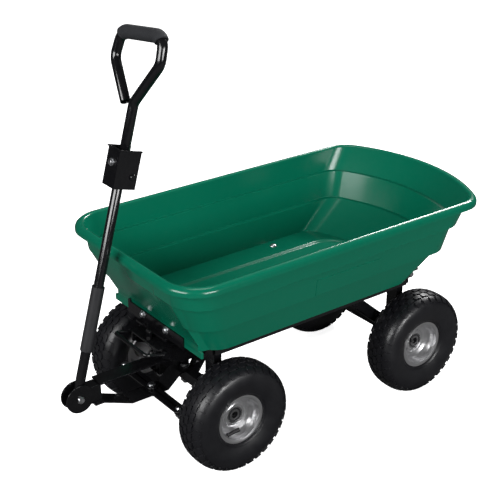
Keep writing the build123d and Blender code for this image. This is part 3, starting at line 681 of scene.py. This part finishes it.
def carcass_profile():
    """Closed outline of a tyre's section: (distance outboard, radius), in millimetres."""
    outer = [
        (26, 51), (26.2, 57), (28.5, 59.5), (31.2, 61.0), (31.6, 62.4), (32.2, 62.8), (33.8, 66.0),
        (34.4, 66.3), (36.3, 71), (38.9, 79), (40.5, 87), (41.2, 94), (41.0, 100), (40.0, 106),
        (38.2, 111.5), (35.5, 116.5), (32.0, 119.8), (26.0, 123.0), (18.0, 125.4), (9.0, 126.5),
    ]
    crown = [(0, 126.8)]
    inner = [(20, 51), (21, 58), (30, 74), (35, 92), (31, 110), (20, 118), (0, 120)]
    left = [(-u, r) for u, r in reversed(outer)]
    left_inner = [(-u, r) for u, r in inner[:-1]]
    return outer + crown + left + left_inner + inner[::-1]


def crown_point(along, lift):
    """Point above the carcass at a distance along its skin from the middle, in millimetres."""
    line = [(0, 126.8)] + [p for p in reversed(carcass_profile()[:20]) if p[1] > 99]
    left = abs(along)
    for (u0, r0), (u1, r1) in zip(line, line[1:]):
        length = math.hypot(u1 - u0, r1 - r0)
        if left <= length or r1 < 101:
            break
        left -= length
    du, dr = (u1 - u0) / length, (r1 - r0) / length
    u, r = u0 + du * left - dr * lift, r0 + dr * left + du * lift
    return math.copysign(u, along), r


# Rows of tread blocks: middle and width along the skin, fill of the pitch, shift and skew
TREAD_ROWS = (
    (0.0, 11.6, 0.80, 0.0, 0.0), (14.3, 11.8, 0.82, 0.5, 2.0), (-14.3, 11.8, 0.82, 0.5, -2.0),
    (32.0, 17.0, 0.74, 0.0, 2.4), (-32.0, 17.0, 0.74, 0.0, -2.4),
)


def tread_block(bm, row, pitch, depth):
    """One block of a tread row, bent to the carcass, with zig-zag sides."""
    middle, width, fill, shift, skew = row
    made = bmesh.ops.create_grid(bm, x_segments=4, y_segments=6, size=0.5)
    faces = list({f for v in made["verts"] for f in v.link_faces})
    grown = bmesh.ops.extrude_face_region(bm, geom=faces)["geom"]
    top = [g for g in grown if isinstance(g, bmesh.types.BMVert)]
    low = [v for v in made["verts"] if v.is_valid]
    for vert in top:
        vert.co.z = 1.0
    bmesh.ops.delete(bm, geom=[f for f in faces if f.is_valid], context="FACES_ONLY")
    for vert in set(top + low):
        across, along, level = vert.co
        narrow = 1.0 - 0.08 * level
        if abs(along) > 0.4 and abs(across) > 0.4:
            narrow *= 0.90
        zigzag = 1.7 * (abs(2 * along) - 0.5)
        place = middle + across * width * narrow + zigzag + skew * along
        angle = (along * fill * narrow + shift) * pitch
        distance, radius = crown_point(place, depth if level > 0.5 else -1.2)
        vert.co = (distance, radius * math.sin(angle), radius * math.cos(angle))


def tyre_mesh():
    """A tyre at the origin, its axis along X, in metres."""
    sizes = bpy.context.scene.cart_sizes
    bm = bmesh.new()
    outline = [(u * MM, 0, r * MM) for u, r in carcass_profile()]
    spun(bm, outline, (1, 0, 0), (0, 0, 0), 96)
    clean(bm)
    pitch = 2 * math.pi / sizes.tread_pitches
    block_bm = bmesh.new()
    for row in TREAD_ROWS:
        tread_block(block_bm, row, pitch, sizes.tread_depth / MM - 0.2)
    bmesh.ops.recalc_face_normals(block_bm, faces=block_bm.faces[:])
    bmesh.ops.scale(block_bm, vec=(MM, MM, MM), verts=block_bm.verts[:])
    bmesh.ops.spin(
        block_bm, geom=block_bm.verts[:] + block_bm.edges[:] + block_bm.faces[:], cent=(0, 0, 0),
        axis=(1, 0, 0), dvec=(0, 0, 0), angle=2 * math.pi * (sizes.tread_pitches - 1)
        / sizes.tread_pitches, steps=sizes.tread_pitches - 1, use_duplicate=True, use_merge=False,
    )
    temp = bpy.data.meshes.new("tread")
    block_bm.to_mesh(temp)
    block_bm.free()
    bm.from_mesh(temp)
    bpy.data.meshes.remove(temp)
    return bm


def wheel_matrix(name):
    """Place of a wheel: its middle, with local +X outboard."""
    low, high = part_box("tyre_" + name)
    centre = (Vector(low) + Vector(high)) / 2
    turn = 0.0 if name.endswith("left") else math.pi
    return Matrix.Translation(centre) @ Matrix.Rotation(turn, 4, "Z")


def build_tyres():
    """Four tyres from one pattern, each at its wheel."""
    base = tyre_mesh()
    mesh = bpy.data.meshes.new("tyre_pattern")
    base.to_mesh(mesh)
    base.free()
    for name in WHEELS:
        bm = bmesh.new()
        bm.from_mesh(mesh)
        bmesh.ops.transform(bm, matrix=wheel_matrix(name), verts=bm.verts[:])
        obj = finished_object(
            "tyre_tread_" + name, bm, finish("rubber"), "wheel_" + name, 40.0
        )
        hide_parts("tyre_" + name)
    bpy.data.meshes.remove(mesh)


# Bearing seals

# Section of a seal: (distance outboard, radius), in millimetres
SEAL = ((4.1, 13.2), (4.75, 13.6), (4.85, 15.0), (4.75, 16.5), (4.1, 16.9))


def build_seals():
    """Dark rubber seal in the face of each outer wheel bearing."""
    for name in WHEELS:
        bm = bmesh.new()
        spun(bm, [(u * MM, 0, r * MM) for u, r in SEAL], (1, 0, 0), (0, 0, 0), 48)
        clean(bm)
        bmesh.ops.transform(bm, matrix=wheel_matrix(name), verts=bm.verts[:])
        finished_object(
            "bearing_seal_" + name, bm, finish("rubber"), "wheel_" + name
        )


# Foam grip


def build_grip():
    """The foam sleeve on the hand loop: the CAD tube's mesh, merged, with rounded ends."""
    source = NODES["foam_grip"].data
    bm = bmesh.new()
    bm.from_mesh(source)
    clean(bm, 0.00002)
    ends = [e for e in bm.edges if len(e.link_faces) == 2 and e.calc_face_angle(0.0) > 0.9]
    add_bevel(bm, ends, 0.0018, 3)
    obj = finished_object(
        "foam_sleeve", bm, finish("foam"), "upper_handle", 50.0
    )
    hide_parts("foam_grip")
    return obj


# Spring


def build_spring():
    """Torsion spring of the release lever: close coils round the shaft."""
    low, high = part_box("latch_spring")
    centre = (Vector(low) + Vector(high)) / 2
    wire = bpy.context.scene.cart_sizes.spring_wire
    radius = (high[2] - low[2]) / 2 - wire / 2
    turns = int((high[0] - low[0] - wire) / (wire * 1.12))
    bm = bmesh.new()
    ring = bmesh.ops.create_circle(
        bm, cap_ends=True, segments=10, radius=wire / 2,
        matrix=Matrix.Translation((0, 0, radius)) @ Matrix.Rotation(math.pi / 2, 4, "X"),
    )
    steps = turns * 20
    run = high[0] - low[0] - wire
    bmesh.ops.spin(
        bm, geom=ring["verts"] + bm.edges[:] + bm.faces[:], cent=(0, 0, 0), axis=(1, 0, 0),
        dvec=(run / steps, 0, 0), angle=turns * 2 * math.pi, steps=steps,
        use_merge=False, use_duplicate=False,
    )
    start = Vector((low[0] + wire / 2, centre[1], centre[2]))
    bmesh.ops.translate(bm, vec=start, verts=bm.verts[:])
    clean(bm)
    obj = finished_object("torsion_spring", bm, finish("spring"), "chassis")
    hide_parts("latch_spring")
    return obj


# Studio

# Lights: (name, place, size, power)
LIGHTS = (
    ("key", (0.5, -3.4, 2.0), (2.4, 1.2), 120),
    ("side", (3.4, -0.1, 1.5), (2.0, 1.0), 105),
    ("top", (-0.4, 0.3, 3.2), (1.2, 1.2), 14),
    ("back", (-1.0, 2.8, 2.6), (1.8, 0.4), 130),
)
LIGHT_TARGET = (0, 0, 0.35)
CAMERA_PLACE = (1.9289, -1.4914, 1.5333)
CAMERA_TILT = 64.99
CAMERA_TURN = 52.97
CAMERA_LENS = 83.0


def area_light(name, place, target, size, power):
    data = bpy.data.lights.new(name, "AREA")
    data.shape = "RECTANGLE"
    data.size, data.size_y = size
    data.energy = power
    obj = bpy.data.objects.new(name, data)
    obj.location = place
    direction = Vector(target) - Vector(place)
    obj.rotation_euler = direction.to_track_quat("-Z", "Y").to_euler()
    bpy.context.scene.collection.objects.link(obj)


def build_floor():
    """Paper floor that glows white to the camera and stays dim in reflections."""
    bm = bmesh.new()
    bmesh.ops.create_grid(bm, x_segments=1, y_segments=1, size=14.0)
    mesh = bpy.data.meshes.new("studio_floor")
    bm.to_mesh(mesh)
    bm.free()
    floor = bpy.data.objects.new("studio_floor", mesh)
    bpy.context.scene.collection.objects.link(floor)
    material, tree, shader = new_material("Studio paper")
    shader.inputs["Base Color"].default_value = (*bpy.context.scene.cart_colours.floor, 1.0)
    shader.inputs["Roughness"].default_value = 0.9
    glow = add_node(tree, "ShaderNodeEmission")
    glow.inputs["Strength"].default_value = 0.90
    lit = add_node(tree, "ShaderNodeAddShader")
    tree.links.new(shader.outputs[0], lit.inputs[0])
    tree.links.new(glow.outputs[0], lit.inputs[1])
    dim = add_node(tree, "ShaderNodeBsdfDiffuse")
    dim.inputs["Color"].default_value = (0.10, 0.10, 0.10, 1.0)
    seen = add_node(tree, "ShaderNodeLightPath").outputs["Is Camera Ray"]
    paper = add_node(tree, "ShaderNodeMixShader")
    tree.links.new(seen, paper.inputs[0])
    tree.links.new(dim.outputs[0], paper.inputs[1])
    tree.links.new(lit.outputs[0], paper.inputs[2])
    tree.links.new(paper.outputs[0], tree.nodes["Material Output"].inputs["Surface"])
    mesh.materials.append(material)


def build_world():
    """Faint even light, with a white backdrop behind the cart."""
    world = bpy.data.worlds.new("Studio")
    bpy.context.scene.world = world
    world.use_nodes = True
    tree = world.node_tree
    background = tree.nodes["Background"]
    background.inputs["Color"].default_value = (0.93, 0.96, 1.0, 1.0)
    background.inputs["Strength"].default_value = 0.045
    backdrop = add_node(tree, "ShaderNodeBackground")
    backdrop.inputs["Strength"].default_value = 1.0
    backdrop.inputs["Color"].default_value = (1.0, 1.0, 1.0, 1.0)
    seen = add_node(tree, "ShaderNodeLightPath").outputs["Is Camera Ray"]
    mix = add_node(tree, "ShaderNodeMixShader")
    tree.links.new(seen, mix.inputs[0])
    tree.links.new(background.outputs[0], mix.inputs[1])
    tree.links.new(backdrop.outputs[0], mix.inputs[2])
    tree.links.new(mix.outputs[0], tree.nodes["World Output"].inputs["Surface"])


def build_camera():
    """Camera above the cart's front left corner."""
    data = bpy.data.cameras.new("camera")
    data.lens = CAMERA_LENS
    data.sensor_width = 36.0
    camera = bpy.data.objects.new("camera", data)
    camera.location = CAMERA_PLACE
    camera.rotation_euler = (math.radians(CAMERA_TILT), 0.0, math.radians(CAMERA_TURN))
    bpy.context.scene.collection.objects.link(camera)
    bpy.context.scene.camera = camera


def build_studio():
    """Paper floor, white backdrop, four area lights and the camera."""
    build_floor()
    build_world()
    for name, place, size, power in LIGHTS:
        area_light(name, place, LIGHT_TARGET, size, power)
    build_camera()
    bpy.context.scene.view_settings.view_transform = "Standard"


# Operators


class CART_OT_tub(bpy.types.Operator):
    """Build the moulded tub with its rolled rim, ledges and raised floor"""

    bl_idname = "cart.tub"
    bl_label = "Tub"

    def execute(self, context):
        build_tub()
        return {"FINISHED"}


class CART_OT_tyres(bpy.types.Operator):
    """Build the four tyres with their tread blocks"""

    bl_idname = "cart.tyres"
    bl_label = "Tyres"

    def execute(self, context):
        build_tyres()
        return {"FINISHED"}


class CART_OT_wheels(bpy.types.Operator):
    """Finish the rims, valves and bearings, and add the bearing seals"""

    bl_idname = "cart.wheels"
    bl_label = "Rims and Bearings"

    def execute(self, context):
        for name in WHEELS:
            finish_cad("rim_" + name, "rim")
            finish_cad("inner_tube_" + name, "rubber")
            finish_cad("bearings_" + name, "bearing")
        build_seals()
        return {"FINISHED"}


class CART_OT_steel(bpy.types.Operator):
    """Finish the powder-coated steel, the sleeve and the zinc fasteners"""

    bl_idname = "cart.steel"
    bl_label = "Steel and Fasteners"

    def execute(self, context):
        edge = context.scene.cart_sizes.steel_edge
        for node in COATED:
            finish_cad(node, "coat", edge)
        for node in ZINC:
            finish_cad(node, "zinc", edge * 0.6)
        finish_cad("handle_sleeve", "sleeve")
        return {"FINISHED"}


class CART_OT_grip(bpy.types.Operator):
    """Build the foam sleeve on the hand loop"""

    bl_idname = "cart.grip"
    bl_label = "Foam Grip"

    def execute(self, context):
        build_grip()
        return {"FINISHED"}


class CART_OT_spring(bpy.types.Operator):
    """Build the coiled torsion spring of the release lever"""

    bl_idname = "cart.spring"
    bl_label = "Lever Spring"

    def execute(self, context):
        build_spring()
        return {"FINISHED"}


class CART_OT_studio(bpy.types.Operator):
    """Set up the floor, the lights and the camera"""

    bl_idname = "cart.studio"
    bl_label = "Studio"

    def execute(self, context):
        build_studio()
        return {"FINISHED"}


class CART_PT_sidebar(bpy.types.Panel):
    """Sizes, colours and builders of the garden cart"""

    bl_label = "Garden Cart"
    bl_space_type = "VIEW_3D"
    bl_region_type = "UI"
    bl_category = "Garden Cart"

    def draw(self, context):
        layout = self.layout
        for group in (context.scene.cart_sizes, context.scene.cart_colours):
            for name in group.__annotations__:
                layout.prop(group, name)
        for operator in OPERATORS:
            layout.operator(operator.bl_idname)


OPERATORS = (
    CART_OT_tub, CART_OT_tyres, CART_OT_wheels, CART_OT_steel, CART_OT_grip, CART_OT_spring,
    CART_OT_studio,
)
CLASSES = (CartSizes, CartColours, *OPERATORS, CART_PT_sidebar)


def register():
    for cls in CLASSES:
        bpy.utils.register_class(cls)
    bpy.types.Scene.cart_sizes = PointerProperty(type=CartSizes)
    bpy.types.Scene.cart_colours = PointerProperty(type=CartColours)


def unregister():
    del bpy.types.Scene.cart_colours
    del bpy.types.Scene.cart_sizes
    for cls in reversed(CLASSES):
        bpy.utils.unregister_class(cls)


def main():
    """Builds every piece in order."""
    register()
    bpy.ops.cart.tub()
    bpy.ops.cart.tyres()
    bpy.ops.cart.wheels()
    bpy.ops.cart.steel()
    bpy.ops.cart.grip()
    bpy.ops.cart.spring()
    bpy.ops.cart.studio()


if __name__ == "__main__":
    main()
